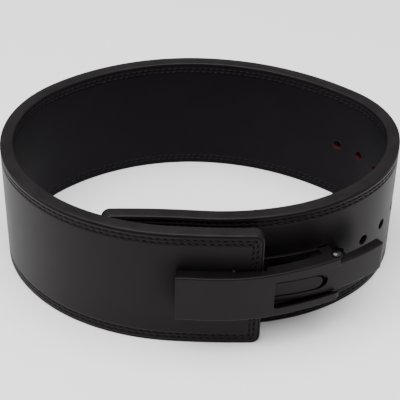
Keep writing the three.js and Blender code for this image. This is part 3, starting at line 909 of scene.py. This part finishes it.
def level_body(where, profile):
    """A round body on the level axis through the strap at one place."""
    (x, y, z), faces = turned(profile)
    _, _, heading = centre_line(np.array(lap_line + where))
    foot = belt_space(where, 0.0, 0.0)
    forward = np.array([math.cos(heading), math.sin(heading), 0])
    outward = np.array([-math.sin(heading), math.cos(heading), 0])
    points = foot + x[:, None] * forward + z[:, None] * outward + y[:, None] * [0, 0, 1]
    return points, faces[:, ::-1]


LUG_PLACE, LUG_RADIUS, LUG_RISE, LUG_ROOT, LUG_INSET = 19.0, 1.6, 2.4, 2.0, 1.3
CROWN, TRIM, BREAK, LIP = 0.5, 0.1, 0.2, 0.15
lug_top = LEVER_HALF + LUG_RISE
lug_crown = dome(LUG_RADIUS - TRIM, lug_top - CROWN, CROWN)
lug_side = [(LUG_RADIUS, LEVER_HALF - LUG_ROOT), (LUG_RADIUS, lug_top - (CROWN + TRIM))]
lug = upright_body(LUG_PLACE, float(lever_edge(LUG_PLACE)) + LUG_INSET, lug_side + lug_crown)
steel_piece("buckle_lever", "lever", cover, end_wall, lug)

# %% [markdown]
# ## Base rail and slide block
#
# The rail is a shallow tray that carries everything. Its right end is rounded and closed, and a
# long slot with a round end runs in from its left end. The slide block lies in the tray with a
# tongue that fills the slot nearly flush.

# %% Base rail
RAIL_FACE, RAIL_HALF, RAIL_FLANGE, RAIL_BEND = FACE + 21.6, 12.5, 7.0, 1.0
RAIL_FROM, RAIL_TO, NOSE_RADIUS, NOSE_BACK = -88.0, -4.0, 4.0, 0.8
SLOT_HALF, SLOT_FROM, SLOT_BAND, PAST_ROUND = 6.5, -42.5, 4.0, 1
SLOT_CELL, SIDE_CELL = 0.6, 0.8
NOSE_THICK, NOSE_EDGE, NOSE_CORNER, NOSE_SET, NOSE_SIDE, NOSE_TOP = 3.0, 0.5, 1.0, 0.1, 0.2, 0.3


def nose_drop(where):
    """How far the round end draws in: radius - sqrt(radius squared - inset squared)."""
    inset = np.clip(NOSE_RADIUS - (where - RAIL_FROM), 0, NOSE_RADIUS * 0.995)
    return NOSE_RADIUS - np.sqrt(NOSE_RADIUS**2 - inset**2)


def rail_face(where):
    return RAIL_FACE - nose_drop(where) * NOSE_BACK


rail_leg, rail_arc = RAIL_HALF - RAIL_BEND, RAIL_BEND * np.pi / 2
nose_places = RAIL_FROM + NOSE_RADIUS * (1 - np.cos(np.linspace(0, np.pi / 2, 7)))
slot_band, past_round = SLOT_FROM - SLOT_BAND, SLOT_FROM + SLOT_HALF + PAST_ROUND
beyond_nose = line_runs(
    ([nose_places[-1], slot_band], COARSE),
    ([slot_band, SLOT_FROM, past_round], SLOT_CELL),
    ([past_round, RAIL_TO], COARSE),
)
places = np.concatenate([nose_places[:-1], beyond_nose])
rows = line_runs(([0, SLOT_HALF], SLOT_CELL), ([SLOT_HALF, rail_leg], SIDE_CELL))
rail_edge = RAIL_FACE - RAIL_FLANGE
flange = rail_face(places) - RAIL_BEND - rail_edge
along, across = channel(places, rows, rail_leg, rail_arc, flange, 4)
along, across, solid = window(along, across, SLOT_FROM, SLOT_HALF, SLOT_HALF, 1)
rail_space = folded(
    rail_face, lambda where: rail_edge, lambda where: RAIL_HALF - nose_drop(where),
    RAIL_HALF, RAIL_BEND, SLOT_HALF + FIRM_BAND,
)
tray = sheet_solid(along, across, solid, rail_space, SHEET, CUT_EDGE)[:2]
nose_half = RAIL_HALF - NOSE_RADIUS - NOSE_SIDE
nose_wall = plate(
    [rail_edge, RAIL_FACE - NOSE_RADIUS * NOSE_BACK - NOSE_TOP], [-nose_half, nose_half],
    lambda offset, height, depth: belt_space(RAIL_FROM + NOSE_SET + depth, offset, height),
    NOSE_THICK, NOSE_EDGE, NOSE_CORNER,
)
steel_piece("buckle_base_rail", "base_rail", tray, nose_wall)

# %% Slide block
BLOCK_FOOT, BLOCK_SUNK, BLOCK_FROM, BLOCK_TO = FACE + 12.4, 0.4, -39.3, -6.0
BLOCK_CLEAR, TONGUE_CLEAR, TONGUE_ROOT = 1.0, 0.5, 0.3
block_half, tongue_half = RAIL_HALF - SHEET - BLOCK_CLEAR, SLOT_HALF - TONGUE_CLEAR
block_top, tongue_top = RAIL_FACE - SHEET - BLOCK_SUNK, RAIL_FACE - BLOCK_SUNK
body = plate(
    [BLOCK_FROM, BLOCK_TO], [-block_half, block_half], plate_space(block_top),
    block_top - BLOCK_FOOT, PRESSED_EDGE,
)
one, two = np.meshgrid(
    lines([BLOCK_FROM, BLOCK_FROM + tongue_half, BLOCK_TO], MIDDLING),
    lines([-tongue_half, tongue_half], MIDDLING),
    indexing="ij",
)
away, side_away = round_corners(one - BLOCK_FROM, tongue_half - np.abs(two), tongue_half)
tongue = sheet_solid(
    BLOCK_FROM + away, (tongue_half - side_away) * np.sign(two), None,
    plate_space(tongue_top), tongue_top - block_top + TONGUE_ROOT, PRESSED_EDGE,
)[:2]
steel_piece("buckle_slide_block", "slide_block", body, tongue)

# %% [markdown]
# ## Claw
#
# The claw is a flat fork between the two layers of leather. Its arms end in round ears on the
# rivets, and two blunt prongs on the plate stand through the outer end's holes.

# %% Claw
CLAW_BOTTOM, CLAW_THICK, CLAW_HALF, CLAW_SHEET = FACE + 2.0, 2.5, 16.0, 2.0
CLAW_FROM, CLAW_TO, CLAW_ARM = -50.0, 54.0, 5.0
CLAW_WINDOW, FORK_BAND, PAST_FORK = 6.0, 6.0, 3.0
claw_top, arm_in = CLAW_BOTTOM + CLAW_THICK, CLAW_HALF - CLAW_ARM
fork_band, past_fork, arm_band = CLAW_WINDOW - FORK_BAND, CLAW_WINDOW + PAST_FORK, arm_in - FORK_BAND
along, across = np.meshgrid(
    line_runs(
        ([CLAW_FROM, fork_band], COARSE),
        ([fork_band, CLAW_WINDOW, past_fork], MIDDLING),
        ([past_fork, CLAW_TO], COARSE),
    ),
    line_runs(
        ([-CLAW_HALF, -arm_in, -arm_band], MIDDLING),
        ([-arm_band, 0, arm_band], COARSE),
        ([arm_band, arm_in, CLAW_HALF], MIDDLING),
    ),
    indexing="ij",
)
along, across, solid = window(along, across, CLAW_WINDOW, arm_in, CLAW_ARM, -1)
fork = sheet_solid(along, across, solid, plate_space(claw_top), CLAW_THICK, CUT_EDGE)[:2]
print("the claw's fork has", len(fork[1]), "faces")

# %% Stems and prongs
EYE_RADIUS, STEM_TO, STEM_CELL, STEM_ROWS, STEM_EDGE, STEM_OVER = 2.7, -42.5, 0.4, 18, 0.2, 0.1
one, two = np.meshgrid(
    lines([RIVET_PLACE - EYE_RADIUS, STEM_TO], STEM_CELL), np.linspace(0, 1, STEM_ROWS),
    indexing="ij",
)
eye_rise = np.sqrt(np.maximum(EYE_RADIUS**2 - (one - RIVET_PLACE) ** 2, 0.01))
stem_top = rivet_offset + np.where(one < RIVET_PLACE + EYE_RADIUS, eye_rise, STEM_OVER)
stem_foot = CLAW_BOTTOM + GAP
stems = [
    sheet_solid(
        one, stem_foot + (stem_top - stem_foot) * two, None,
        lambda where, offset, depth: belt_space(where, offset, side * (CLAW_HALF - depth)),
        CLAW_SHEET, STEM_EDGE,
    )[:2]
    for side in (-1, 1)
]
PRONG_RADIUS, PRONG_CONE, PRONG_ROOT, PRONG_CLEAR = HOLE_RADIUS - 0.8, 2.0, 0.4, 1.2
prong_tip = float(lever_face(PRONG_HOLES[0])) - SHEET - PRONG_CLEAR
shank = [
    (PRONG_RADIUS, claw_top - PRONG_ROOT),
    (PRONG_RADIUS, prong_tip - PRONG_CONE - BREAK),
    (PRONG_RADIUS - BREAK, prong_tip - PRONG_CONE),
    (PRONG_RADIUS / 2 + BREAK, prong_tip - LIP),
    (PRONG_RADIUS / 2 - TRIM, prong_tip),
]
prongs = [level_body(where, shank) for where in PRONG_HOLES]
steel_piece("buckle_claw", "claw", fork, *stems, *prongs)

# %% [markdown]
# ## Rivets and posts
#
# Round parts are turned from a profile. A rivet has a low dome outside and a small flat tail
# inside. The posts have flat heads with broken edges, which show on the inside of the belt.

# %% Rivets
HEAD_RADIUS, HEAD_RISE, HEAD_LIP, RIVET_RADIUS = 3.4, 2.0, 0.25, 1.5
TAIL_RADIUS, TAIL = 2.4, 0.8
head_foot, tail_foot = LEVER_HALF + GAP, CLAW_HALF - CLAW_SHEET - GAP
rivet_profile = [
    (TAIL_RADIUS - BREAK, tail_foot - TAIL),
    (TAIL_RADIUS, tail_foot - TAIL + BREAK),
    (TAIL_RADIUS, tail_foot),
    (RIVET_RADIUS, tail_foot),
    (RIVET_RADIUS, head_foot),
    (HEAD_RADIUS - LIP, head_foot),
    *dome(HEAD_RADIUS, head_foot + HEAD_LIP, HEAD_RISE - HEAD_LIP),
]
for name, side in (("top", 1), ("bottom", -1)):
    profile = [(radius, side * rise) for radius, rise in rivet_profile]
    rivet = upright_body(RIVET_PLACE, rivet_offset, profile)
    steel_piece(f"rivet_{name}", f"claw_rivet_{name}", rivet, steel=bright_steel, slot="bright_steel")

# %% Posts
POST_SHANK, POST_HEAD, POST_COLLAR = HOLE_RADIUS - 1.2, HOLE_RADIUS + 3.5, HOLE_RADIUS + 1.2
POST_RISE, HEAD_CORNER = 1.6, 0.6
under_strap, collar_foot = -FACE - GAP, FACE + GAP
head_top = under_strap - POST_RISE
post_head = [
    (POST_HEAD - HEAD_CORNER, head_top),
    (POST_HEAD - BREAK, head_top + LIP),
    (POST_HEAD, head_top + HEAD_CORNER),
    (POST_HEAD, under_strap),
    (POST_SHANK, under_strap),
]
collar = [(POST_SHANK, collar_foot), (POST_COLLAR, collar_foot), (POST_COLLAR, BLOCK_FOOT - GAP)]
for name, hole, rest in (
    ("left", 0, collar), ("right", 2, [(POST_SHANK, RAIL_FACE - SHEET - GAP)])
):
    post = level_body(FIRST_HOLE - HOLE_PITCH * hole, post_head + rest)
    steel_piece(f"post_{name}", f"rail_post_{name}", post)

# %% [markdown]
# ## Floor and light
#
# A wide white floor under a bright, even sky gives the soft studio light of a catalogue picture.
# The leather is dark, so most of what shows on it is the reflection of the white surroundings.

# %% Floor
floor_finish, field, shader = finish_called("studio_floor", Specular_IOR_Level=0.1, Roughness=0.9)
feed(shader, Base_Color=spot(field, 2.0).mix((0.9, 0.9, 0.9), (0.92, 0.92, 0.92)))
reach = np.array([[-1, -1], [1, -1], [1, 1], [-1, 1]]) * 30.0
floor_mesh = bpy.data.meshes.new("studio_floor")
floor_mesh.from_pydata([(x, y, 0.0) for x, y in reach], [], [(0, 1, 2, 3)])
floor_mesh.materials.append(floor_finish)
floor = bpy.data.objects.new("studio_floor", floor_mesh)
bpy.context.scene.collection.objects.link(floor)

# %% Lights
world = bpy.data.worlds.new("studio_sky")
bpy.context.scene.world = world
world.use_nodes = True
sky = world.node_tree.nodes["Background"].inputs
sky["Color"].default_value = (1, 1, 1, 1)
sky["Strength"].default_value = 0.55


def softbox(name, place, towards, size, power):
    """A square lamp at a place, turned towards a point, in metres and watts."""
    lamp = bpy.data.lights.new(name, "AREA")
    lamp.shape, lamp.size, lamp.energy = "SQUARE", size, power
    made = bpy.data.objects.new(name, lamp)
    made.location = place
    aim = [b - a for a, b in zip(place, towards)]
    made.rotation_euler = Vector(aim).to_track_quat("-Z", "Y").to_euler()
    bpy.context.scene.collection.objects.link(made)


softbox("softbox_above", (-0.1, -0.3, 1.6), (0, 0, 0), 1.8, 66)
softbox("softbox_left", (-1.3, -0.3, 0.7), (0, 0, 0.05), 0.9, 6)
